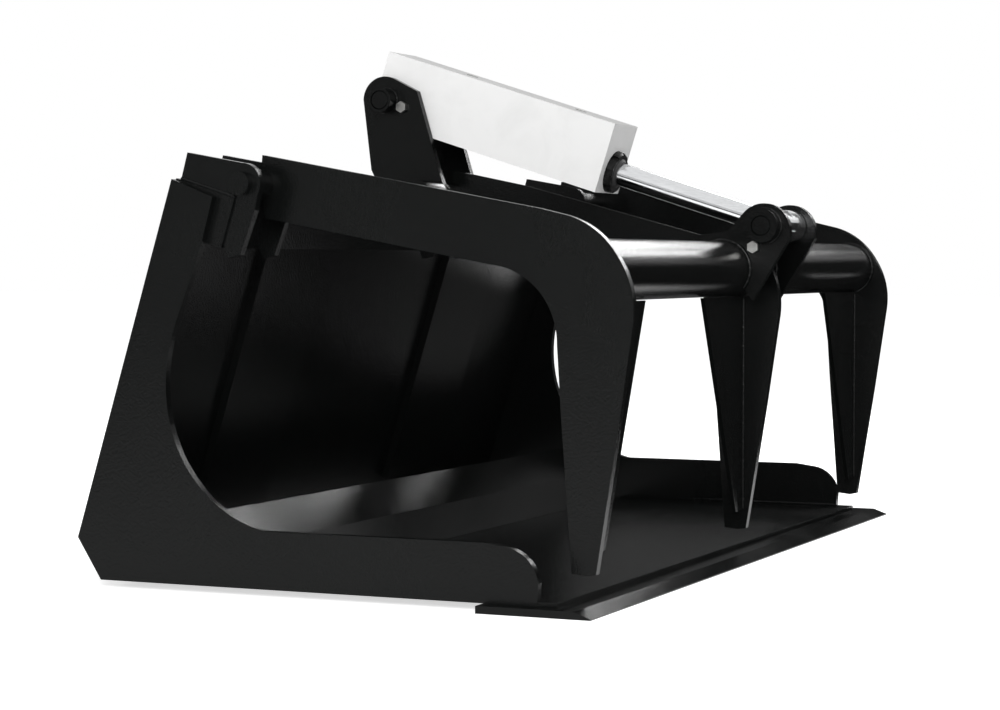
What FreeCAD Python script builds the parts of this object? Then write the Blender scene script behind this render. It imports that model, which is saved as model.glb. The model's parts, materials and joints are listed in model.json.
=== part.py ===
import FreeCAD
import Part
import Sketcher
import math
import os

# Solid bottom grapple: a bucket with a flat floor and three curved arms on one cross tube,
# closed by one hydraulic cylinder under a white cover.
# X runs across, the cutting edge faces -Y, Z is up, and Z = 0 is the ground under the
# cutting edge. Y = 0 is the front edge of the side plates.

doc = FreeCAD.newDocument("grapple")
V = FreeCAD.Vector

# Driving dimensions, in millimetres and degrees
SIZES = [
    ("edge_width", 1524), ("edge_thickness", 11), ("edge_front", 89.5), ("edge_rear", 82),
    ("edge_bevel", 25), ("edge_nose", 1.8),
    ("bucket_half", 737), ("side_thickness", 12.7), ("floor_thickness", 6.35),
    ("floor_front", 30), ("floor_rear", 690), ("skid_width", 76),
    ("back_thickness", 9.5), ("back_inset", 15), ("strap_thickness", 12.7),
    ("strap_inner", 230), ("strap_outer", 446), ("heel_thickness", 8),
    ("beam_y", 482.6), ("beam_z", 576.4), ("beam_depth", 102), ("beam_height", 76),
    ("beam_wall", 6.35), ("beam_cap", 6), ("lean_angle", 17.3),
    ("plate_thickness", 12.7), ("outer_ear", 720), ("inner_ear", 605.3), ("right_ear", 532),
    ("bracket_inner", 57.7), ("clevis_inner", 62.8),
    ("hinge_y", 472), ("hinge_z", 597.5), ("hinge_pin_radius", 14.25),
    ("hinge_tube_radius", 22), ("hinge_collar_radius", 23), ("hinge_head_radius", 17.3),
    ("hinge_collar_side", 12), ("hinge_collar_centre", 70),
    ("rear_pin_y", 564), ("rear_pin_z", 758.5), ("front_pin_y", -112), ("front_pin_z", 541.8),
    ("pin_radius", 16.25), ("pin_waist", 12.7), ("pin_boss_radius", 25.5),
    ("pin_boss_length", 26.6), ("rear_boss_radius", 20.8), ("pin_chamfer", 2),
    ("front_boss_radius", 27), ("front_boss_length", 22),
    ("arm_pitch", 661), ("tube_y", -42.5), ("tube_z", 473), ("tube_radius", 44.45),
    ("tube_wall", 6.35), ("gusset_top", 195), ("gusset_bottom", 36), ("gusset_thickness", 6.35),
    ("gusset_y", -48), ("gusset_low", 79),
    ("barrel_radius", 32), ("bore_radius", 25.4), ("barrel_end", 405), ("rod_radius", 19.05),
    ("gland_radius", 35), ("gland_front", 418), ("notch_width", 9), ("notch_depth", 4.5),
    ("piston_rear", 330), ("eye_radius", 27), ("eye_bore", 22.6), ("eye_half", 60),
    ("guard_half", 52.5), ("guard_top", 80.4), ("guard_bottom", 37.3), ("guard_rear", 29),
    ("guard_front", 406), ("guard_sheet", 3),
    ("latch_edge", 88.5), ("latch_spacing", 965), ("latch_slot", 70), ("latch_slot_width", 32),
    ("latch_depth", 58), ("latch_z", 121),
    ("bolt_head", 9.9), ("bolt_radius", 6), ("bolt_head_height", 8), ("guard_screw_height", 0.5),
    ("weld_gap", 0.2), ("pin_fit", 0.07),
]

sheet = doc.addObject("Spreadsheet::Sheet", "Sizes")
for row, (alias, value) in enumerate(SIZES, start=1):
    sheet.set(f"A{row}", alias)
    sheet.set(f"B{row}", str(value))
    sheet.setAlias(f"B{row}", alias)
doc.recompute()

nodes = []


def size(text):
    """Turn the aliases in an expression into references to the sheet."""
    words = []
    word = ""
    for letter in f"{text} ":
        if letter.isalnum() or letter in "_.":
            word += letter
            continue
        words.append(f"Sizes.{word}" if word in ALIASES else word)
        words.append(letter)
        word = ""
    return "".join(words).strip()


ALIASES = {alias for alias, value in SIZES}


def value_of(text):
    """The present value of an expression of aliases."""
    result = sheet.evalExpression(size(text))
    return float(getattr(result, "Value", result))


def bind(thing, name, text):
    thing.setExpression(name, size(text))


def place(thing, x="0", y="0", z="0", tilt=None):
    """Put an object at a bound point, turned about X by a bound angle."""
    if tilt is not None:
        thing.Placement = FreeCAD.Placement(V(0, 0, 0), FreeCAD.Rotation(V(1, 0, 0), 1))
        bind(thing, "Placement.Rotation.Angle", tilt)
    for axis, text in (("x", x), ("y", y), ("z", z)):
        bind(thing, f"Placement.Base.{axis}", text)


def keep(thing, label):
    thing.Label = label
    nodes.append(thing)
    return thing


def group(label, things):
    """Alike pieces that share one node, each still a solid of its own."""
    for thing in things:
        if thing in nodes:
            nodes.remove(thing)
    gathered = doc.addObject("Part::Compound", f"{label}_group")
    gathered.Links = things
    return keep(gathered, label)


def origin_plane(body, role):
    return [item for item in body.Origin.OriginFeatures if item.Role == role][0]


def new_sketch(body, name, role, offset="0"):
    sketch = body.newObject("Sketcher::SketchObject", name)
    sketch.AttachmentSupport = [(origin_plane(body, role), "")]
    sketch.MapMode = "FlatFace"
    bind(sketch, "AttachmentOffset.Base.z", offset)
    return sketch


def tie_point(sketch, geometry, vertex, point):
    """Hold one sketch point at its two bound coordinates."""
    for kind, text in zip(("DistanceX", "DistanceY"), point):
        number = sketch.addConstraint(
            Sketcher.Constraint(kind, -1, 1, geometry, vertex, value_of(text)))
        bind(sketch, f"Constraints[{number}]", text)


def draw_outline(sketch, outline):
    """Closed outline of bound points; a step of three items is an arc by way of its middle."""
    corners = [step[-1] for step in outline]
    first = sketch.GeometryCount
    spots = [V(value_of(a), value_of(b), 0) for a, b in corners]
    count = len(outline)
    arc_ends = [(1, 2)] * count
    for index, step in enumerate(outline):
        start, end = spots[index - 1], spots[index]
        if len(step) == 1:
            sketch.addGeometry(Part.LineSegment(start, end), False)
            continue
        middle = V(value_of(step[1][0]), value_of(step[1][1]), 0)
        bend = Part.ArcOfCircle(start, middle, end)
        centre = bend.Center
        angles = [math.atan2(spot.y - centre.y, spot.x - centre.x) for spot in (start, end)]
        if (middle - start).cross(end - middle).z < 0:
            angles.reverse()
            arc_ends[index] = (2, 1)
        if angles[1] < angles[0]:
            angles[1] += 2 * math.pi
        circle = Part.Circle(centre, V(0, 0, 1), bend.Radius)
        sketch.addGeometry(Part.ArcOfCircle(circle, *angles), False)
    for index in range(count):
        after = (index + 1) % count
        sketch.addConstraint(Sketcher.Constraint(
            "Coincident", first + index, arc_ends[index][1], first + after, arc_ends[after][0]))
    for index, step in enumerate(outline):
        tie_point(sketch, first + index, arc_ends[index][1], corners[index])
        if len(step) == 1:
            continue
        centre = sketch.Geometry[first + index].Center
        chord = spots[index] - spots[index - 1]
        side = 0 if abs(chord.y) > abs(chord.x) else 1
        text = f"{corners[index][side]} + ({centre[side] - spots[index][side]:.4f})"
        kind = ("DistanceX", "DistanceY")[side]
        number = sketch.addConstraint(
            Sketcher.Constraint(kind, -1, 1, first + index, 3, centre[side]))
        bind(sketch, f"Constraints[{number}]", text)


def draw_circle(sketch, centre, radius):
    spot = V(value_of(centre[0]), value_of(centre[1]), 0)
    number = sketch.addGeometry(Part.Circle(spot, V(0, 0, 1), value_of(radius)), False)
    tie_point(sketch, number, 3, centre)
    limit = sketch.addConstraint(Sketcher.Constraint("Radius", number, value_of(radius)))
    bind(sketch, f"Constraints[{limit}]", radius)


def plate(label, role, start, thickness, outline=(), circles=(), inner=()):
    """A flat piece: an outline and its holes, drawn on one plane and padded."""
    body = doc.addObject("PartDesign::Body", f"{label}_body")
    sketch = new_sketch(body, f"{label}_sketch", role, start)
    if outline:
        draw_outline(sketch, outline)
    for hole in inner:
        draw_outline(sketch, hole)
    for centre, radius in circles:
        draw_circle(sketch, centre, radius)
    pad = body.newObject("PartDesign::Pad", f"{label}_pad")
    pad.Profile = sketch
    bind(pad, "Length", thickness)
    body.Tip = pad
    return keep(body, label)


def turned(label, role, profile):
    """A round piece: half a section turned about the sketch's own horizontal axis."""
    body = doc.addObject("PartDesign::Body", f"{label}_body")
    sketch = new_sketch(body, f"{label}_sketch", role)
    draw_outline(sketch, profile)
    spin = body.newObject("PartDesign::Revolution", f"{label}_turn")
    spin.Profile = sketch
    spin.ReferenceAxis = (sketch, ["H_Axis"])
    spin.Angle = 360
    body.Tip = spin
    return keep(body, label)


def scoop(body, centre, radius):
    """Cut a round saddle across X through a turned piece."""
    sketch = new_sketch(body, f"{body.Name}_scoop", "YZ_Plane")
    draw_circle(sketch, centre, radius)
    doc.recompute()
    before = body.Shape.Volume
    pocket = body.newObject("PartDesign::Pocket", f"{body.Name}_saddle")
    pocket.Profile = sketch
    pocket.Midplane = True
    pocket.Type = "ThroughAll"
    body.Tip = pocket
    doc.recompute()
    assert body.Shape.Volume < before


def line(*points):
    """Outline steps joined by straight lines."""
    return [(point,) for point in points]


def arc(middle, end):
    return [("arc", middle, end)]


def from_point(y, z):
    """Points given as offsets from one bound point."""
    return lambda dy, dz: (f"{y} + {dy}", f"{z} + {dz}")


hinge = from_point("hinge_y", "hinge_z")
rear = from_point("rear_pin_y", "rear_pin_z")
front = from_point("front_pin_y", "front_pin_z")
tube = from_point("tube_y", "tube_z")
ground = from_point("0", "edge_thickness")
origin = from_point("0", "0")


def beam(back, down):
    """A point of the leaning rear frame, from the top front corner of its beam."""
    return (
        f"beam_y + ({back}) * cos(lean_angle) + ({down}) * sin(lean_angle)",
        f"beam_z + ({back}) * sin(lean_angle) - ({down}) * cos(lean_angle)",
    )


# Cutting edge, floor and skids
plate("cutting_edge", "YZ_Plane", "-edge_width / 2", "edge_width", line(
    ("edge_rear", 0), ("edge_rear", "edge_thickness - weld_gap"),
    ("edge_bevel - edge_front", "edge_thickness - weld_gap"), ("-edge_front", "edge_nose"),
    ("-edge_front", 0)))
inner_half = "bucket_half - side_thickness - weld_gap"
plate("floor_plate", "XY_Plane", "edge_thickness", "floor_thickness", line(
    (f"-({inner_half})", "floor_rear"), (f"-({inner_half})", "-4 * weld_gap"),
    ("-bucket_half", "-4 * weld_gap"), ("-bucket_half", "-floor_front"),
    ("bucket_half", "-floor_front"), ("bucket_half", "-4 * weld_gap"),
    (inner_half, "-4 * weld_gap"), (inner_half, "floor_rear")))
skids = []
for label, middle in (("left", "-500"), ("centre", "0"), ("right", "500")):
    skids.append(plate(f"{label}_skid_bar", "XY_Plane", "0", "edge_thickness - weld_gap", line(
        (f"{middle} - skid_width / 2", "edge_rear + 14"),
        (f"{middle} + skid_width / 2", "edge_rear + 14"),
        (f"{middle} + skid_width / 2", "floor_rear - 5"),
        (f"{middle} - skid_width / 2", "floor_rear - 5"))))
group("skid_bars", skids)

# Side plates: a C with a deep round throat, leaning back edge and a cut heel
side_outline = (
    line(ground(706.3, 0), ground(0, 0), ground(-2, 31.5))
    + arc(ground(10.4, 59.8), ground(45.9, 79.6))
    + line(ground(82, 84.5), ground(428, 84.5))
    + arc(ground(528.8, 138.4), ground(585.1, 234.8))
    + arc(ground(592, 292.8), ground(576, 380.6))
    + line(ground(531.8, 495.2), ground(511.8, 567.1), ground(580.4, 594.1), ground(746.4, 62)))
plate("left_side_plate", "YZ_Plane", "-bucket_half", "side_thickness", side_outline)
plate("right_side_plate", "YZ_Plane", "bucket_half - side_thickness", "side_thickness", side_outline)


def across(label, outline, inner=(), half=inner_half):
    """A piece of one section from side plate to side plate."""
    return plate(label, "YZ_Plane", f"-({half})", f"2 * ({half})", outline, inner=inner)


# Leaning rear frame: box beam, back plate with two straps, heel and corner plates
beam_half = "bucket_half - side_thickness - beam_cap"
beam_section = line(beam(0, 0), beam("beam_depth", 0), beam("beam_depth", "beam_height"),
                    beam(0, "beam_height"))
across("top_beam", beam_section, half=beam_half,
       inner=[line(beam("beam_wall", "beam_wall"), beam("beam_depth - beam_wall", "beam_wall"),
                   beam("beam_depth - beam_wall", "beam_height - beam_wall"),
                   beam("beam_wall", "beam_height - beam_wall"))])
caps = []
for label, start in (("left", f"-({inner_half})"), ("right", f"{beam_half} + weld_gap")):
    caps.append(plate(f"{label}_beam_cap", "YZ_Plane", start, "beam_cap - 2 * weld_gap",
                      beam_section))
group("beam_end_caps", caps)
back_front = "beam_depth - back_inset"
back_rear = "beam_depth - back_inset + back_thickness"
back_low = 555.5
across("back_plate", line(
    beam(back_front, "beam_height + weld_gap"), beam(back_rear, "beam_height + weld_gap"),
    beam(back_rear, back_low), beam(back_front, back_low)))
for label, low, high in (("left", "-strap_outer", "-strap_inner"),
                         ("right", "strap_inner", "strap_outer")):
    plate(f"{label}_back_strap", "YZ_Plane", low, f"{high} - ({low})", line(
        beam(f"{back_front} - weld_gap", "beam_height + weld_gap"),
        beam(f"{back_front} - weld_gap", back_low - 15),
        beam(f"{back_front} - weld_gap - strap_thickness", back_low - 20),
        beam(f"{back_front} - weld_gap - strap_thickness", "beam_height + weld_gap")))
across("heel_plate", line(
    ground(690.4, 0.3), ground(701.5, 0.3), ground(741.0, 58.5), ground(728.6, 60.0)))
across("corner_plate", line(
    ground(441, 6.65), ground(485, 56.6), ground(568, 98.7), ground(571.5, 91.5),
    ground(490.5, 50.2), ground(452, 6.65)))

# Quick-attach frame on the back: hook lip, guide plates and a ledge with two latch slots
latch_half = "(latch_spacing / 2 + latch_edge)"
plate("quick_attach_lip", "YZ_Plane", f"-{latch_half}", f"2 * {latch_half}", line(
    beam("beam_depth + weld_gap", 5), beam("beam_depth + 52", 50),
    beam("beam_depth + 42", 59), beam("beam_depth + weld_gap", 22)))
ledge_front = (
    f"beam_y + ({back_rear}) * cos(lean_angle) + weld_gap"
    f" + (beam_z + ({back_rear}) * sin(lean_angle) - latch_z) * tan(lean_angle)")


def slot(middle):
    run = "(latch_slot - latch_slot_width) / 2"
    half = "latch_slot_width / 2"
    depth = f"{ledge_front} + latch_depth / 2"
    return (
        line((f"{middle} - {run}", f"{depth} - {half}"), (f"{middle} + {run}", f"{depth} - {half}"))
        + arc((f"{middle} + {run} + {half}", depth), (f"{middle} + {run}", f"{depth} + {half}"))
        + line((f"{middle} - {run}", f"{depth} + {half}"))
        + arc((f"{middle} - {run} - {half}", depth), (f"{middle} - {run}", f"{depth} - {half}")))[1:]


plate("quick_attach_ledge", "XY_Plane", "latch_z", "plate_thickness", line(
    (f"-{latch_half}", ledge_front), (latch_half, ledge_front),
    (latch_half, f"{ledge_front} + latch_depth"), (f"-{latch_half}", f"{ledge_front} + latch_depth")),
    inner=[slot("-latch_spacing / 2"), slot("latch_spacing / 2")])
for label, start in (("left", f"-{latch_half}"), ("right", f"{latch_half} - plate_thickness")):
    plate(f"{label}_quick_attach_guide", "YZ_Plane", start, "plate_thickness", line(
        beam(f"{back_rear} + weld_gap", "beam_height + 4"), beam("beam_depth + 40", "beam_height + 4"),
        beam("beam_depth + 40", 476), beam(f"{back_rear} + weld_gap", 463)))

# Hinge ears: an inverted L on the top and front of the beam, round about the hinge pin
seat = (
    line(beam("-weld_gap", 71), beam("-weld_gap", "-weld_gap"), beam("beam_depth - 6", "-weld_gap")))
leg = line(hinge(-21, -38.5), hinge(4, -103.5), hinge(24, -107.5))
ear_outline = (
    seat + line(hinge(91.5, 46.7), hinge(-1, 30.0)) + arc(hinge(-30, 0), hinge(-26, -15)) + leg)
ear_hole = (hinge(0, 0), "hinge_pin_radius + 0.05")
for label, start in (
        ("left_outer_ear", "-outer_ear"), ("left_inner_ear", "-inner_ear - plate_thickness"),
        ("right_inner_ear", "right_ear"), ("right_outer_ear", "outer_ear - plate_thickness")):
    plate(label, "YZ_Plane", start, "plate_thickness", ear_outline, circles=[ear_hole])

# Tall plates that carry the cylinder's rear pin over the centre hinge
bracket_outline = (
    seat + line(hinge(120.6, 43.9), rear(43.5, 3.5))
    + arc(rear(34, 27.5), rear(-15, 37.1))
    + line(rear(-58, 15), rear(-64, -5), hinge(-6.5, 41.5), hinge(-15.4, 16.5), hinge(-24, -8),
           hinge(-26, -15)) + leg)
rear_bolt = rear(-31, -11.5)
for label, start in (("left", "-bracket_inner - plate_thickness"), ("right", "bracket_inner")):
    plate(f"{label}_cylinder_bracket", "YZ_Plane", start, "plate_thickness", bracket_outline,
          circles=[ear_hole, (rear(0, 0), "pin_radius + 0.05"),
                   (rear_bolt, "bolt_radius + 0.1")])


def ring(label, start, length, centre, outer, inner):
    return plate(label, "YZ_Plane", start, length, circles=[(centre, outer), (centre, inner)])


def rod_across(label, start, length, centre, radius):
    return plate(label, "YZ_Plane", start, length, circles=[(centre, radius)])


# Hinge pins with a collar outside each ear
pin_out = "outer_ear + hinge_collar_side"
bracket_out = "bracket_inner + plate_thickness"
rod_across("left_hinge_pin", f"-({pin_out})", f"{pin_out} - inner_ear + 3", hinge(0, 0),
           "hinge_pin_radius")
rod_across("right_hinge_pin", "right_ear - 3", f"{pin_out} - right_ear + 3", hinge(0, 0),
           "hinge_pin_radius")
rod_across("centre_hinge_pin", f"-({bracket_out} + hinge_collar_centre)",
           f"2 * ({bracket_out} + hinge_collar_centre)", hinge(0, 0), "hinge_pin_radius")
collars = []
for label, start, length, radius in (
        ("left", f"-({pin_out})", "hinge_collar_side", "hinge_head_radius"),
        ("right", "outer_ear + weld_gap", "hinge_collar_side", "hinge_head_radius"),
        ("centre_left", f"-({bracket_out} + hinge_collar_centre)", "hinge_collar_centre",
         "hinge_collar_radius"),
        ("centre_right", f"{bracket_out} + weld_gap", "hinge_collar_centre",
         "hinge_collar_radius")):
    collars.append(ring(f"{label}_hinge_collar", start, f"{length} - weld_gap", hinge(0, 0),
                        radius, "hinge_pin_radius + 0.05"))
group("hinge_collars", collars)

# Rear pin of the cylinder, its bosses and the bolts beside them
rear_end = f"({bracket_out} + pin_boss_length)"
rear_pin = turned("cylinder_rear_pin", "XY_Plane", line(
    (f"-{rear_end}", "0"), (f"-{rear_end}", "pin_radius - pin_chamfer"),
    (f"pin_chamfer - {rear_end}", "pin_radius"), (f"{rear_end} - pin_chamfer", "pin_radius"),
    (rear_end, "pin_radius - pin_chamfer"), (rear_end, "0")))
place(rear_pin, "0", "rear_pin_y", "rear_pin_z")
ring("left_rear_pin_boss", f"-({bracket_out} + pin_boss_length)", "pin_boss_length - weld_gap",
     rear(0, 0), "rear_boss_radius", "pin_radius + 0.05")
ring("right_rear_pin_boss", f"{bracket_out} + weld_gap", "pin_boss_length - weld_gap",
     rear(0, 0), "rear_boss_radius", "pin_radius + 0.05")


def bolt_pair(label, face, centre):
    """Two hexagon bolts across X, one in each outer face."""
    solids = []
    for side, turn in (("left", -90), ("right", 90)):
        head = doc.addObject("Part::Prism", f"{label}_{side}_head")
        head.Polygon = 6
        bind(head, "Circumradius", "bolt_head")
        bind(head, "Height", "bolt_head_height")
        bind(head, "Placement.Base.z", "weld_gap")
        shank = doc.addObject("Part::Cylinder", f"{label}_{side}_shank")
        bind(shank, "Radius", "bolt_radius")
        bind(shank, "Height", "plate_thickness + 1")
        bind(shank, "Placement.Base.z", "-plate_thickness")
        bolt = doc.addObject("Part::Fuse", f"{label}_{side}")
        bolt.Base = head
        bolt.Tool = shank
        bolt.Placement = FreeCAD.Placement(V(0, 0, 0), FreeCAD.Rotation(V(0, 1, 0), turn))
        sign = "-" if side == "left" else ""
        bind(bolt, "Placement.Base.x", f"{sign}({face})")
        bind(bolt, "Placement.Base.y", centre[0])
        bind(bolt, "Placement.Base.z", centre[1])
        solids.append(bolt)
    return group(label, solids)


bolt_pair("rear_pin_bolts", bracket_out, rear_bolt)

# Three arms on one cross tube; the centre arm has a lower top edge behind the tube
arm_below = (
    line(hinge(-4.2, 43.3), hinge(-2, 22.2))
    + arc(hinge(-22.29, 0), hinge(-4, -21.93))
    + line(hinge(-8.1, -49), hinge(-370.1, -117.1))
    + arc(hinge(-454.2, -166.5), hinge(-472.4, -229.1))
    + line(hinge(-478.5, -326.6), hinge(-494.9, -548.0), hinge(-518.9, -550.6),
           hinge(-531.5, -548.0), hinge(-564.0, -345.2), hinge(-585.5, -200.1))
    + arc(hinge(-580.9, -143.1), hinge(-566.2, -110.8)))
arm_outline = (
    arm_below
    + arc(hinge(-536.5, -74.5), hinge(-488.8, -48.8))
    + line(hinge(-446.5, -38.7), hinge(-292.3, -10.0)))
centre_arm_outline = (
    arm_below
    + arc(hinge(-536.5, -74.5), hinge(-505, -62))
    + line(hinge(-450.9, -69.1), hinge(-142.6, 14.6)))
tube_hole = (tube(0, 0), "tube_radius + weld_gap")
plate("left_arm", "YZ_Plane", "-arm_pitch - plate_thickness / 2", "plate_thickness", arm_outline)
plate("right_arm", "YZ_Plane", "arm_pitch - plate_thickness / 2", "plate_thickness", arm_outline)
plate("centre_arm", "YZ_Plane", "-plate_thickness / 2", "plate_thickness", centre_arm_outline,
      circles=[tube_hole])
arm_face = "arm_pitch - plate_thickness / 2"
ring("cross_tube", f"weld_gap - ({arm_face})", f"2 * ({arm_face} - weld_gap)", tube(0, 0),
     "tube_radius", "tube_radius - tube_wall")

# Tine gussets, flat to the front, under the cross tube
gusset_high = "tube_z - sqrt(tube_radius ^ 2 - 14 ^ 2) - 3"
for label, root, way in (("left", f"weld_gap - ({arm_face})", "+"),
                         ("centre", "-plate_thickness / 2 - weld_gap", "-"),
                         ("right", f"{arm_face} - weld_gap", "-")):
    plate(f"{label}_tine_gusset", "XZ_Plane", "-gusset_y", "gusset_thickness", line(
        (root, gusset_high), (f"{root} {way} gusset_top", gusset_high),
        (f"{root} {way} gusset_bottom", "gusset_low"), (root, "gusset_low")))

# Hinge tubes in the arm ends
bush_bore = "hinge_pin_radius + pin_fit"
ring("left_hinge_tube", "1 + plate_thickness - outer_ear",
     "outer_ear - inner_ear - 2 * plate_thickness - 2", hinge(0, 0),
     "hinge_tube_radius", bush_bore)
ring("right_hinge_tube", "1 + plate_thickness + right_ear",
     "outer_ear - right_ear - 2 * plate_thickness - 2", hinge(0, 0),
     "hinge_tube_radius", bush_bore)
ring("centre_hinge_tube", "1 - bracket_inner", "2 * bracket_inner - 2", hinge(0, 0),
     "hinge_tube_radius", bush_bore)

# Clevis on the cross tube for the rod eye
clevis_outline = (
    line(tube(-33.8, -29.3))
    + arc(tube(-43.5, 10.3), tube(21.7, 39.15))
    + line(front(62, -7.5), front(37, 19.5))
    + arc(front(-14, 32.5), front(-41.5, -13))
    + line(front(-40.5, -20.5), front(20.5, -119.5)))
clevis_out = "clevis_inner + plate_thickness"
front_bolt = front(18, -34)
for label, start in (("left", f"-({clevis_out})"), ("right", "clevis_inner")):
    plate(f"{label}_clevis_plate", "YZ_Plane", start, "plate_thickness", clevis_outline,
          circles=[(front(0, 0), "pin_radius + 0.05"), (front_bolt, "bolt_radius + 0.1")])
ring("left_front_pin_boss", f"-({clevis_out} + front_boss_length)",
     "front_boss_length - weld_gap", front(0, 0), "front_boss_radius", "pin_radius + 0.05")
ring("right_front_pin_boss", f"{clevis_out} + weld_gap", "front_boss_length - weld_gap",
     front(0, 0), "front_boss_radius", "pin_radius + 0.05")
bolt_pair("front_pin_bolts", clevis_out, front_bolt)
pin_end = f"({clevis_out} + front_boss_length)"
waist_end = "(eye_half + 1.5)"
front_pin = turned("cylinder_front_pin", "XY_Plane", line(
    (f"-{pin_end}", "0"), (f"-{pin_end}", "pin_radius - pin_chamfer"),
    (f"pin_chamfer - {pin_end}", "pin_radius"), (f"-{waist_end}", "pin_radius"),
    (f"-{waist_end}", "pin_waist"), (waist_end, "pin_waist"), (waist_end, "pin_radius"),
    (f"{pin_end} - pin_chamfer", "pin_radius"), (pin_end, "pin_radius - pin_chamfer"),
    (pin_end, "0")))
place(front_pin, "0", "front_pin_y", "front_pin_z")

# Hydraulic cylinder, drawn along its own axis: -Y of these pieces runs from the rear pin
# to the rod eye
rise = "rear_pin_z - front_pin_z"
run = "rear_pin_y - front_pin_y"
tilt = f"atan2({rise}; {run})"
span = f"sqrt(({rise}) ^ 2 + ({run}) ^ 2)"


def on_cylinder(thing):
    place(thing, "0", "rear_pin_y", "rear_pin_z", tilt)
    return thing


on_cylinder(ring("barrel_rear_eye", "3.5 - guard_half", "2 * guard_half - 7", origin(0, 0),
                 "pin_boss_radius", "pin_radius + pin_fit"))
cap = turned("barrel_rear_cap", "YZ_Plane", line(
    ("-12", "0"), ("-12", "barrel_radius - 6"), ("-26", "barrel_radius"),
    ("-45", "barrel_radius"), ("-45", "0")))
scoop(cap, origin(0, 0), "pin_boss_radius + weld_gap")
on_cylinder(cap)
on_cylinder(turned("barrel_tube", "YZ_Plane", line(
    ("-45 - weld_gap", "bore_radius"), ("-45 - weld_gap", "barrel_radius"),
    ("-barrel_end", "barrel_radius"), ("-barrel_end", "bore_radius"))))
gland_tail = "barrel_end - 35"
rod_bore = "rod_radius + pin_fit"
gland = turned("gland_nut", "YZ_Plane", line(
    (f"-({gland_tail})", rod_bore), (f"-({gland_tail})", "bore_radius - 0.05"),
    ("-barrel_end - weld_gap", "bore_radius - 0.05"), ("-barrel_end - weld_gap", "gland_radius"),
    ("-gland_front + 3", "gland_radius"), ("-gland_front", "gland_radius - 3"),
    ("-gland_front", "rod_radius + 6"), ("-gland_front + 7", "rod_radius + 6"),
    ("-gland_front + 7", rod_bore)))
notch_sketch = new_sketch(gland, "gland_notch_sketch", "XZ_Plane")
draw_outline(notch_sketch, line(
    ("-notch_width / 2", "gland_radius - notch_depth"), ("notch_width / 2", "gland_radius - notch_depth"),
    ("notch_width / 2", "gland_radius + 5"), ("-notch_width / 2", "gland_radius + 5")))
doc.recompute()
whole = gland.Shape.Volume
notch = gland.newObject("PartDesign::Pocket", "gland_notch")
notch.Profile = notch_sketch
notch.Midplane = True
notch.Type = "ThroughAll"
gland.Tip = notch
doc.recompute()
one_notch = whole - gland.Shape.Volume
notches = gland.newObject("PartDesign::PolarPattern", "gland_notches")
notches.Originals = [notch]
notches.Axis = (origin_plane(gland, "Y_Axis"), [""])
notches.Angle = 360
notches.Occurrences = 8
gland.Tip = notches
doc.recompute()
assert one_notch > 0 and abs(whole - gland.Shape.Volume - 8 * one_notch) < 0.05 * one_notch
on_cylinder(gland)
on_cylinder(turned("rod_wiper", "YZ_Plane", line(
    ("-gland_front - 3", rod_bore), ("-gland_front - 3", "rod_radius + 2"),
    ("-gland_front", "rod_radius + 5.9"), ("-gland_front + 6.9", "rod_radius + 5.9"),
    ("-gland_front + 6.9", rod_bore))))

# Cover of the cylinder, carried on two blocks on the barrel
shell = doc.addObject("Part::Box", "guard_outside")
bind(shell, "Length", "2 * guard_half")
bind(shell, "Width", "guard_front + guard_rear")
bind(shell, "Height", "guard_top + guard_bottom")
place(shell, "-guard_half", "-guard_front", "-guard_bottom")
hollow = doc.addObject("Part::Box", "guard_inside")
bind(hollow, "Length", "2 * (guard_half - guard_sheet)")
bind(hollow, "Width", "guard_front + guard_rear")
bind(hollow, "Height", "guard_top + guard_bottom")
place(hollow, "guard_sheet - guard_half", "guard_sheet - guard_front", "-guard_bottom - guard_sheet")
pin_way = doc.addObject("Part::Cylinder", "guard_pin_hole")
bind(pin_way, "Radius", "pin_radius + 0.6")
bind(pin_way, "Height", "4 * guard_half")
pin_way.Placement = FreeCAD.Placement(V(0, 0, 0), FreeCAD.Rotation(V(0, 1, 0), 90))
bind(pin_way, "Placement.Base.x", "-2 * guard_half")
gland_way = doc.addObject("Part::Cylinder", "guard_gland_hole")
bind(gland_way, "Radius", "gland_radius + 0.8")
bind(gland_way, "Height", "30")
gland_way.Placement = FreeCAD.Placement(V(0, 0, 0), FreeCAD.Rotation(V(1, 0, 0), 90))
bind(gland_way, "Placement.Base.y", "15 - guard_front")
holes = doc.addObject("Part::MultiFuse", "guard_holes")
holes.Shapes = [hollow, pin_way, gland_way]
guard = doc.addObject("Part::Cut", "guard_cut")
guard.Base = shell
guard.Tool = holes
on_cylinder(keep(guard, "cylinder_guard"))


def block(label, distance):
    """A saddle block between the barrel and the top of the cover."""
    body = plate(label, "YZ_Plane", "-16", "32", line(
        (f"-({distance}) - 15", "barrel_radius - 1.5"), (f"-({distance}) + 15", "barrel_radius - 1.5"),
        (f"-({distance}) + 15", "guard_top - guard_sheet - weld_gap"),
        (f"-({distance}) - 15", "guard_top - guard_sheet - weld_gap")))
    sketch = new_sketch(body, f"{label}_saddle_sketch", "XZ_Plane")
    draw_circle(sketch, ("0", "0"), "barrel_radius + weld_gap")
    doc.recompute()
    before = body.Shape.Volume
    pocket = body.newObject("PartDesign::Pocket", f"{label}_saddle")
    pocket.Profile = sketch
    pocket.Midplane = True
    pocket.Type = "ThroughAll"
    body.Tip = pocket
    doc.recompute()
    assert body.Shape.Volume < before
    return on_cylinder(body)


block("rear_guard_block", "110")
block("front_guard_block", "320")
screws = []
for distance in (110, 320):
    screw = doc.addObject("Part::Prism", f"guard_screw_{distance}")
    screw.Polygon = 6
    bind(screw, "Circumradius", "bolt_head")
    bind(screw, "Height", "guard_screw_height")
    place(screw, "0", f"-{distance}", "guard_top + weld_gap")
    screws.append(screw)
on_cylinder(group("guard_bolts", screws))

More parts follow.
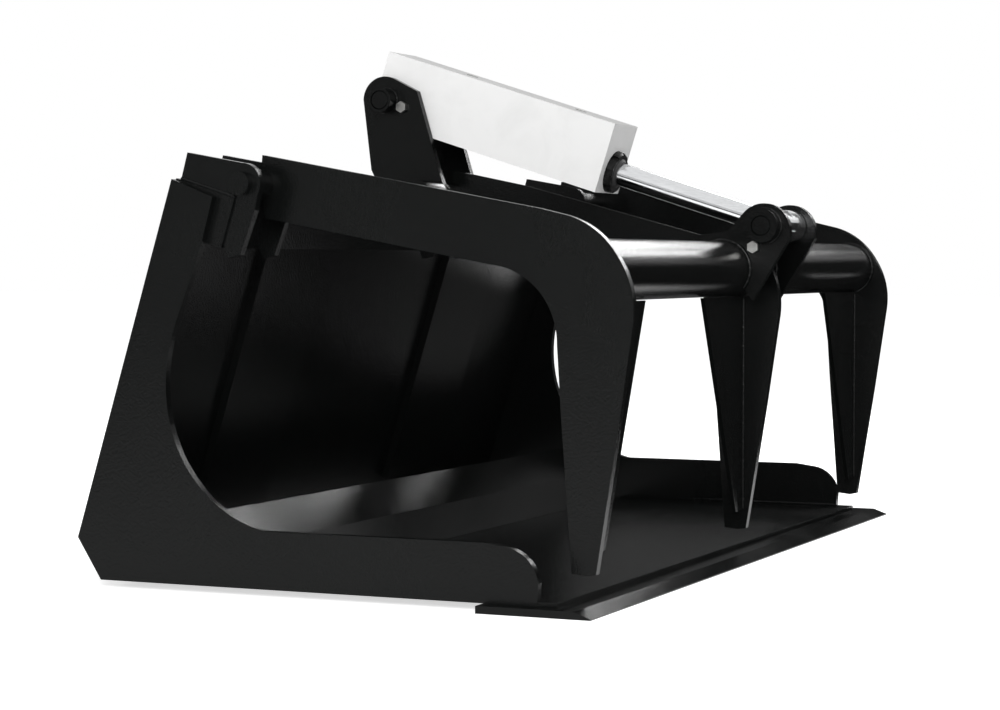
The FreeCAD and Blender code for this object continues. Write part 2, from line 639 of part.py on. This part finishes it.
# Rod, piston and eye
nose = 25
rod = turned("piston_rod", "YZ_Plane", line(
    ("-piston_rear + 18", "0"), ("-piston_rear + 18", "12"),
    (f"-piston_rear - {nose}", "12"), (f"-piston_rear - {nose}", "rod_radius"),
    (f"16 - {span}", "rod_radius"), (f"16 - {span}", "0")))
scoop(rod, (f"-{span}", "0"), "eye_radius + weld_gap")
on_cylinder(rod)
on_cylinder(turned("piston", "YZ_Plane", line(
    ("-piston_rear", "12.05"), ("-piston_rear", "bore_radius - 0.1"),
    ("-piston_rear - 9", "bore_radius - 0.1"), ("-piston_rear - 9", "21"),
    ("-piston_rear - 16", "21"), ("-piston_rear - 16", "bore_radius - 0.1"),
    (f"-piston_rear - {nose} + weld_gap", "bore_radius - 0.1"),
    (f"-piston_rear - {nose} + weld_gap", "12.05"))))
on_cylinder(turned("piston_seal", "YZ_Plane", line(
    ("-piston_rear - 9.1", "21.1"), ("-piston_rear - 9.1", "bore_radius - 0.06"),
    ("-piston_rear - 15.9", "bore_radius - 0.06"), ("-piston_rear - 15.9", "21.1"))))
on_cylinder(turned("piston_nut", "YZ_Plane", line(
    ("-piston_rear + 16", "12.05"), ("-piston_rear + 16", "18"),
    ("-piston_rear + weld_gap", "18"), ("-piston_rear + weld_gap", "12.05"))))
on_cylinder(ring("rod_eye", "-eye_half", "2 * eye_half", (f"-{span}", "0"), "eye_radius", "eye_bore"))

doc.recompute()
for thing in doc.Objects:
    assert "Invalid" not in thing.State and "Error" not in thing.State, thing.Label
os.makedirs("parts", exist_ok=True)
for thing in nodes:
    assert not thing.Shape.isNull() and thing.Shape.isValid(), thing.Label
    thing.Shape.exportStep(f"parts/{thing.Label}.step")
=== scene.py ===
import json
import math
import bpy
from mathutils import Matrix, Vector


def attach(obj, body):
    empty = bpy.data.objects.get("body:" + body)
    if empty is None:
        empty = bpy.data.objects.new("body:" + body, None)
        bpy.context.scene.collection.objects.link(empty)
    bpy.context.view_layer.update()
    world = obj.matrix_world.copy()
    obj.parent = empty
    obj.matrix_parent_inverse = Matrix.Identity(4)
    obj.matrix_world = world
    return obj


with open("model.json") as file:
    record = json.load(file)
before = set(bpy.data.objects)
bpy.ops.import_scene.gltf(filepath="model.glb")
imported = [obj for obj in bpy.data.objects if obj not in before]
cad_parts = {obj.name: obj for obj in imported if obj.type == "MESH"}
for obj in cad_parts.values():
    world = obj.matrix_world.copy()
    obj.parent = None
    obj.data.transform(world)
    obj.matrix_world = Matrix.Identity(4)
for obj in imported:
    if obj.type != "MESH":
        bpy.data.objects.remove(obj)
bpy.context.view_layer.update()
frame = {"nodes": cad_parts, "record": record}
scene = bpy.context.scene
nodes = frame["nodes"]
scene.view_settings.view_transform = "Standard"

# Places and lengths are in metres in the CAD frame, angles in degrees, light in watts.

# Camera at the place and along the sight line of the photograph's, lens and sensor in mm
EYE = Vector((-3.80714, -1.31012, 0.48317))
LOOK = Vector((0.91305, 0.40609, -0.03781))
LENS = 87.94
SENSOR = 36.0
FAR_CLIP = 60.0

# Rounding of the hard edges, and the least angle between faces that gets it
BOSS_ROUND = 0.0022
PAINTED_ROUND = 0.0011
FINE_ROUND = 0.0004
SHARP = math.radians(38.0)

# Weld beads: their usual radius, the spacing of points along them, the number of points
# round a circle, and the share and turn per point of the two waves that ripple them
BEAD = 0.0032
BEAD_STEP = 0.0035
CIRCLE_POINTS = 40
RIPPLE, RIPPLE_TURN = 0.14, 2.1
SWELL, SWELL_TURN = 0.06, 0.7

# Axes across X as (y, z), with the radius of the welds round them
REAR_PIN, REAR_BOSS_WELD = (0.564, 0.7585), 0.0214
FRONT_PIN, FRONT_BOSS_WELD = (-0.112, 0.5418), 0.0277
TUBE, TUBE_WELD = (-0.0425, 0.473), 0.0455
CLEVIS_ARC = {"start": 35, "end": 225}

# Distances of the welded faces from the middle, and where on X the gussets' beads lie
ARM_OUTSIDE = 0.6525
CENTRE_ARM_SIDE = 0.0078
CLEVIS_OUTSIDE, CLEVIS_INSIDE = 0.0765, 0.0615
REAR_BOSS_SIDE, FRONT_BOSS_SIDE = 0.0713, 0.0764
BRACKET_SIDE = 0.0710
SIDE_PLATE = 0.7225
OUTER_EAR = (0.72, 0.7073)
INNER_EAR = {"left": (0.618, 0.6053), "right": (0.5447, 0.532)}
GUSSETS = {"left": -0.6539, "centre": -0.0072, "right": 0.6539}

# Straight welds as (y, z) places
FLOOR_SEAM = ((0.002, 0.0185), (0.43, 0.0185))
EAR_SEAM = ((0.4820, 0.5775), (0.5735, 0.6060))
BRACKET_SEAM = ((0.5040, 0.5075), *EAR_SEAM)
GUSSET_SEAM = ((-0.0545, 0.082), (-0.0545, 0.424))

# Strength of the world as seen or mirrored and as light on the part, the floor's glow
# where it is seen, and half the floor's width
SEEN_WORLD = 1.0
WORLD_FILL = 0.52
FLOOR_GLOW = 0.63
FLOOR_HALF = 30.0

# Tones of the mirror cards
DARK, GREY, HALF, PALE = 0.02, 0.3, 0.5, 0.8


def add(name, data):
    """A new object in the scene."""
    thing = bpy.data.objects.new(name, data)
    scene.collection.objects.link(thing)
    return thing


def aim(direction):
    """The rotation that points a camera or a lamp along a direction."""
    return direction.to_track_quat("-Z", "Y").to_euler()


camera_data = bpy.data.cameras.new("camera")
camera_data.lens = LENS
camera_data.sensor_width = SENSOR
camera_data.clip_end = FAR_CLIP
camera = add("camera", camera_data)
camera.location = EYE
camera.rotation_euler = aim(LOOK)
scene.camera = camera


class Shader:
    """A node material under construction."""

    def __init__(self, name):
        self.material = bpy.data.materials.new(name)
        self.material.use_nodes = True
        self.tree = self.material.node_tree
        self.tree.nodes.clear()
        self.output = self.tree.nodes.new("ShaderNodeOutputMaterial")
        self.surface = self.tree.nodes.new("ShaderNodeBsdfPrincipled")
        self.link(self.surface.outputs[0], self.output.inputs["Surface"])
        self.place = self.tree.nodes.new("ShaderNodeTexCoord").outputs["Object"]
        self.normal = None

    def link(self, source, target):
        self.tree.links.new(source, target)

    def set(self, **values):
        for name, value in values.items():
            self.surface.inputs[name.replace("_", " ")].default_value = value

    def colour(self, source):
        self.link(source, self.surface.inputs["Base Color"])

    def rough(self, source):
        self.link(source, self.surface.inputs["Roughness"])

    def bump(self, height, strength, depth):
        """Add a layer of relief on top of those already there."""
        layer = self.tree.nodes.new("ShaderNodeBump")
        layer.inputs["Strength"].default_value = strength
        layer.inputs["Distance"].default_value = depth
        self.link(height, layer.inputs["Height"])
        if self.normal is not None:
            self.link(self.normal, layer.inputs["Normal"])
        self.normal = layer.outputs[0]
        self.link(self.normal, self.surface.inputs["Normal"])

    def noise(self, scale, detail=3.0, rough=0.5, stretch=(1, 1, 1), warp=0.0):
        """A 0 to 1 cloud in object coordinates, which can be scaled along each axis."""
        mapping = self.tree.nodes.new("ShaderNodeMapping")
        mapping.inputs["Scale"].default_value = stretch
        self.link(self.place, mapping.inputs["Vector"])
        texture = self.tree.nodes.new("ShaderNodeTexNoise")
        texture.inputs["Scale"].default_value = scale
        texture.inputs["Detail"].default_value = detail
        texture.inputs["Roughness"].default_value = rough
        texture.inputs["Distortion"].default_value = warp
        self.link(mapping.outputs[0], texture.inputs["Vector"])
        return texture.outputs["Fac"]

    def spread(self, value, low, high, start=0.0, end=1.0):
        """Map the range from start to end to one from low to high."""
        remap = self.tree.nodes.new("ShaderNodeMapRange")
        remap.inputs["From Min"].default_value = start
        remap.inputs["From Max"].default_value = end
        remap.inputs["To Min"].default_value = low
        remap.inputs["To Max"].default_value = high
        self.link(value, remap.inputs["Value"])
        return remap.outputs[0]

    def blend(self, value, first, second):
        """Mix two colours by a 0 to 1 value."""
        mix = self.tree.nodes.new("ShaderNodeMix")
        mix.data_type = "RGBA"
        mix.inputs["A"].default_value = (*first, 1)
        mix.inputs["B"].default_value = (*second, 1)
        self.link(value, mix.inputs["Factor"])
        return mix.outputs["Result"]


def black_paint():
    """Satin black powder coat: orange peel over soft waves, a little uneven in gloss."""
    shader = Shader("black_powder_coat")
    shader.set(Specular_IOR_Level=0.14)
    tone = shader.noise(scale=2.2, detail=4.0, rough=0.6)
    shader.colour(shader.blend(tone, (0.0024, 0.0027, 0.0026), (0.0048, 0.0053, 0.0051)))
    patches = shader.noise(scale=5.0, detail=5.0, rough=0.6, warp=0.4)
    shader.rough(shader.spread(patches, low=0.12, high=0.19, start=0.3, end=0.7))
    peel = shader.noise(scale=280.0, detail=3.0, rough=0.6)
    waves = shader.noise(scale=34.0, detail=2.0, rough=0.5)
    shader.bump(waves, strength=0.06, depth=0.001)
    shader.bump(peel, strength=0.6, depth=0.0007)
    return shader.material


def white_paint():
    """Semi-gloss white paint on folded sheet, with a little grime and slight waviness."""
    shader = Shader("white_cover_paint")
    shader.set(Specular_IOR_Level=0.12)
    grime = shader.noise(scale=14.0, detail=6.0, rough=0.62, warp=0.6)
    dirt = shader.spread(grime, low=0, high=1, start=0.42, end=0.72)
    shader.colour(shader.blend(dirt, (0.84, 0.84, 0.836), (0.79, 0.79, 0.785)))
    shader.rough(shader.spread(shader.noise(scale=9.0), low=0.32, high=0.46))
    shader.bump(shader.noise(scale=7.0, detail=1.0), strength=0.04, depth=0.003)
    shader.bump(shader.noise(scale=360.0, detail=2.0), strength=0.10, depth=0.0003)
    return shader.material


def chrome():
    """Hard chrome with fine streaks along the rod and an oil haze."""
    shader = Shader("rod_chrome")
    shader.set(Metallic=1.0)
    streaks = shader.noise(scale=60.0, detail=4.0, rough=0.6, stretch=(8, 0.4, 8))
    shader.colour(shader.blend(streaks, (0.60, 0.61, 0.62), (0.80, 0.81, 0.82)))
    haze = shader.noise(scale=30.0, detail=5.0, rough=0.6, warp=0.5)
    shader.rough(shader.spread(haze, low=0.06, high=0.22, start=0.3, end=0.75))
    shader.bump(streaks, strength=0.03, depth=0.0004)
    return shader.material


def bare_steel():
    """Zinc plated steel with fine grain and dull spots."""
    shader = Shader("bare_steel")
    shader.set(Metallic=1.0)
    spots = shader.noise(scale=120.0, detail=5.0, rough=0.65)
    shader.colour(shader.blend(spots, (0.20, 0.20, 0.19), (0.38, 0.38, 0.37)))
    shader.rough(shader.spread(spots, low=0.22, high=0.48))
    shader.bump(shader.noise(scale=300.0), strength=0.15, depth=0.0003)
    return shader.material


def gland_paint():
    """Thin black paint on a machined nut, rubbed paler in small spots."""
    shader = Shader("gland_paint")
    shader.set(Specular_IOR_Level=0.16)
    rub = shader.noise(scale=160.0, detail=5.0, rough=0.6)
    worn = shader.spread(rub, low=0, high=1, start=0.6, end=0.8)
    shader.colour(shader.blend(worn, (0.006, 0.006, 0.006), (0.05, 0.05, 0.05)))
    shader.rough(shader.spread(rub, low=0.25, high=0.5))
    shader.bump(shader.noise(scale=380.0), strength=0.2, depth=0.0004)
    return shader.material


def rubber():
    """Dull black rubber with a fine grain."""
    shader = Shader("seal_rubber")
    grain = shader.noise(scale=260.0, detail=4.0, rough=0.6)
    shader.colour(shader.blend(grain, (0.010, 0.010, 0.010), (0.030, 0.030, 0.030)))
    shader.rough(shader.spread(grain, low=0.55, high=0.8))
    shader.bump(grain, strength=0.3, depth=0.0004)
    return shader.material


MATERIALS = {
    "frame_paint": black_paint(), "cover_paint": white_paint(), "rod_chrome": chrome(),
    "bare_steel": bare_steel(), "gland_paint": gland_paint(), "seal_rubber": rubber(),
}


def bevel(thing, width):
    """Round the hard edges a little so that they catch the light."""
    thing.data.shade_smooth()
    edge = thing.modifiers.new("edge_round", "BEVEL")
    edge.width = width
    edge.segments = 2
    edge.limit_method = "ANGLE"
    edge.angle_limit = SHARP
    edge.harden_normals = True
    edge.use_clamp_overlap = True


for part in frame["record"]["subparts"]:
    node = nodes[part["node"]]
    slot = part["material_slot"]
    node.data.materials.clear()
    node.data.materials.append(MATERIALS[slot])
    if part["node"].endswith("_boss"):
        bevel(node, BOSS_ROUND)
    elif slot in ("frame_paint", "cover_paint"):
        bevel(node, PAINTED_ROUND)
    else:
        bevel(node, FINE_ROUND)


def bead(name, body, points, radius=BEAD, closed=False):
    """A weld bead along a line of points, with the ripple of its passes."""
    curve = bpy.data.curves.new(name, "CURVE")
    curve.dimensions = "3D"
    curve.bevel_depth = radius
    curve.bevel_resolution = 3
    curve.use_fill_caps = True
    spline = curve.splines.new("POLY")
    path = []
    corners = [Vector(point) for point in points]
    if closed:
        corners.append(corners[0])
    for start, end in zip(corners, corners[1:]):
        steps = max(1, round((end - start).length / BEAD_STEP))
        path += [start.lerp(end, step / steps) for step in range(steps)]
    if not closed:
        path.append(corners[-1])
    spline.points.add(len(path) - 1)
    for index, spot in enumerate(path):
        ripple = RIPPLE * math.sin(index * RIPPLE_TURN)
        swell = SWELL * math.sin(index * SWELL_TURN)
        spline.points[index].co = (*spot, 1)
        spline.points[index].radius = 1.0 + ripple + swell
    spline.use_cyclic_u = closed
    curve.materials.append(MATERIALS["frame_paint"])
    thing = add(name, curve)
    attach(thing, body)


def circle(x, centre, radius, start=0.0, end=360.0):
    """Points of a circle, or a part of one, about an axis along X."""
    y, z = centre
    spots = []
    for step in range(CIRCLE_POINTS):
        angle = math.radians(start + (end - start) * step / CIRCLE_POINTS)
        spots.append((x, y + radius * math.cos(angle), z + radius * math.sin(angle)))
    return spots


def line(x, places):
    """Points at one X from their (y, z) places."""
    return [(x, y, z) for y, z in places]


# Weld beads of both sides: round the tube and bosses, along the floor, ears and brackets
for name, side in (("left", -1), ("right", 1)):
    bead(f"{name}_tube_end_weld", "grapple",
         circle(side * ARM_OUTSIDE, TUBE, TUBE_WELD), closed=True)
    bead(f"{name}_clevis_tube_weld", "grapple",
         circle(side * CLEVIS_OUTSIDE, TUBE, TUBE_WELD, **CLEVIS_ARC), radius=0.0035)
    bead(f"{name}_clevis_inner_weld", "grapple",
         circle(side * CLEVIS_INSIDE, TUBE, TUBE_WELD, **CLEVIS_ARC), radius=0.0035)
    bead(f"{name}_centre_tube_weld", "grapple",
         circle(side * CENTRE_ARM_SIDE, TUBE, TUBE_WELD), closed=True)
    bead(f"{name}_rear_boss_weld", "bucket",
         circle(side * REAR_BOSS_SIDE, REAR_PIN, REAR_BOSS_WELD), radius=0.0018, closed=True)
    bead(f"{name}_front_boss_weld", "grapple",
         circle(side * FRONT_BOSS_SIDE, FRONT_PIN, FRONT_BOSS_WELD), radius=0.0022, closed=True)
    bead(f"{name}_floor_weld", "bucket", line(side * SIDE_PLATE, FLOOR_SEAM))
    for ear in (*OUTER_EAR, *INNER_EAR[name]):
        bead(f"{name}_ear_weld_{round(ear * 1000)}", "bucket",
             line(side * ear, EAR_SEAM), radius=0.003)
    bead(f"{name}_bracket_weld", "bucket", line(side * BRACKET_SIDE, BRACKET_SEAM))

# Gusset welds down the arms
for name, root in GUSSETS.items():
    bead(f"{name}_gusset_weld", "grapple", line(root, GUSSET_SEAM), radius=0.0028)


def seen_ray(tree):
    """1 for rays of the camera, of mirrors and of glass, which show the white background."""
    path = tree.nodes.new("ShaderNodeLightPath")
    total = path.outputs["Is Camera Ray"]
    for name in ("Is Glossy Ray", "Is Transmission Ray"):
        either = tree.nodes.new("ShaderNodeMath")
        either.operation = "MAXIMUM"
        tree.links.new(total, either.inputs[0])
        tree.links.new(path.outputs[name], either.inputs[1])
        total = either.outputs[0]
    return total


def square(name, corners, shader):
    """A flat four-cornered object of the studio."""
    mesh = bpy.data.meshes.new(name)
    mesh.from_pydata(corners, [], [(0, 1, 2, 3)])
    mesh.materials.append(shader.material)
    return add(name, mesh)


def floor_paint():
    """Pale matt floor that glows a little where it is seen, and takes the part's shadow."""
    shader = Shader("studio_floor")
    shader.colour(shader.blend(shader.noise(scale=3.0), (0.86, 0.86, 0.86), (0.90, 0.90, 0.90)))
    shader.set(Roughness=1.0, Specular_IOR_Level=0.0)
    glow = shader.tree.nodes.new("ShaderNodeEmission")
    strength = shader.tree.nodes.new("ShaderNodeMath")
    strength.operation = "MULTIPLY"
    strength.inputs[1].default_value = FLOOR_GLOW
    shader.link(seen_ray(shader.tree), strength.inputs[0])
    shader.link(strength.outputs[0], glow.inputs["Strength"])
    both = shader.tree.nodes.new("ShaderNodeAddShader")
    shader.link(shader.surface.outputs[0], both.inputs[0])
    shader.link(glow.outputs[0], both.inputs[1])
    shader.link(both.outputs[0], shader.output.inputs["Surface"])
    return shader


floor = square("floor", [(-FLOOR_HALF, -FLOOR_HALF, 0), (FLOOR_HALF, -FLOOR_HALF, 0),
                         (FLOOR_HALF, FLOOR_HALF, 0), (-FLOOR_HALF, FLOOR_HALF, 0)],
               floor_paint())


def softbox(name, place, target, width, height, power):
    """A rectangular lamp at a place, aimed at a target."""
    lamp = bpy.data.lights.new(name, "AREA")
    lamp.shape = "RECTANGLE"
    lamp.size = width
    lamp.size_y = height
    lamp.energy = power
    thing = add(name, lamp)
    thing.location = place
    thing.rotation_euler = aim(Vector(target) - Vector(place))
    return thing


def link_light(thing, pieces, state):
    """Let a light reach only the given pieces (INCLUDE), or all others (EXCLUDE)."""
    group = bpy.data.collections.new(f"{thing.name}_{state.lower()}")
    for index, piece in enumerate(pieces):
        group.objects.link(nodes[piece])
        group.collection_objects[index].light_linking.link_state = state
    thing.light_linking.receiver_collection = group


# One lamp on each side. The far one skips two pieces on which its mirror image would
# stand as a bright patch.
softbox("left_light", place=(-3.8, -0.9, 1.7), target=(0, 0.2, 0.4),
        width=2.0, height=1.6, power=108)
far_light = softbox("far_light", place=(3.4, -0.3, 2.2), target=(0, 0, 0.5),
                    width=2.4, height=1.0, power=95)
link_light(far_light, ("corner_plate", "cylinder_guard"), "EXCLUDE")


def card(name, tone, corners, glow=0.0):
    """A card that shows only in mirroring surfaces and casts no shadow."""
    shader = Shader(name)
    shader.set(Emission_Color=(1, 1, 1, 1), Emission_Strength=glow)
    shader.set(Base_Color=(tone, tone, tone, 1), Roughness=1.0, Specular_IOR_Level=0.0)
    thing = square(name, corners, shader)
    thing.visible_camera = False
    thing.visible_diffuse = False
    thing.visible_shadow = False
    return thing


def wall(x, start, end, height, base=0.0):
    """Corners of an upright card across X, from one Y to another."""
    return [(x, start, base), (x, end, base), (x, end, height), (x, start, height)]


def ground(z, left, right, front, back):
    """Corners of a level card."""
    return [(left, front, z), (right, front, z), (right, back, z), (left, back, z)]


# The studio as the paint mirrors it: dark beyond and before the part, paler to its left,
# and one lit strip that only the back and its near strap mirror
card("far_card", DARK, wall(3.3, start=-3.4, end=4.0, height=1.05))
card("high_card", DARK, wall(3.29, start=-0.5, end=2.2, height=1.95))
strip = card("glow_card", HALF, glow=260.0,
             corners=wall(3.2, start=-1.5, end=-0.88, height=1.6, base=1.15))
link_light(strip, ("back_plate", "left_back_strap"), "INCLUDE")
card("near_card", DARK, wall(0.95, start=-1.2, end=0.2, height=0.35))
card("grey_card", GREY, wall(0.95, start=0.2, end=1.0, height=0.35))
card("left_card", PALE, wall(-3.2, start=0.0, end=4.0, height=1.6))
card("ground_card", DARK, ground(0.001, left=-1.2, right=3.0, front=-1.8, back=-0.33))


def background(tree, strength):
    """A white world of one strength."""
    shade = tree.nodes.new("ShaderNodeBackground")
    shade.inputs["Color"].default_value = (1, 1, 1, 1)
    shade.inputs["Strength"].default_value = strength
    return shade.outputs[0]


world = bpy.data.worlds.new("studio")
scene.world = world
world.use_nodes = True
tree = world.node_tree
tree.nodes.clear()
choose = tree.nodes.new("ShaderNodeMixShader")
end = tree.nodes.new("ShaderNodeOutputWorld")
tree.links.new(seen_ray(tree), choose.inputs[0])
tree.links.new(background(tree, WORLD_FILL), choose.inputs[1])
tree.links.new(background(tree, SEEN_WORLD), choose.inputs[2])
tree.links.new(choose.outputs[0], end.inputs["Surface"])
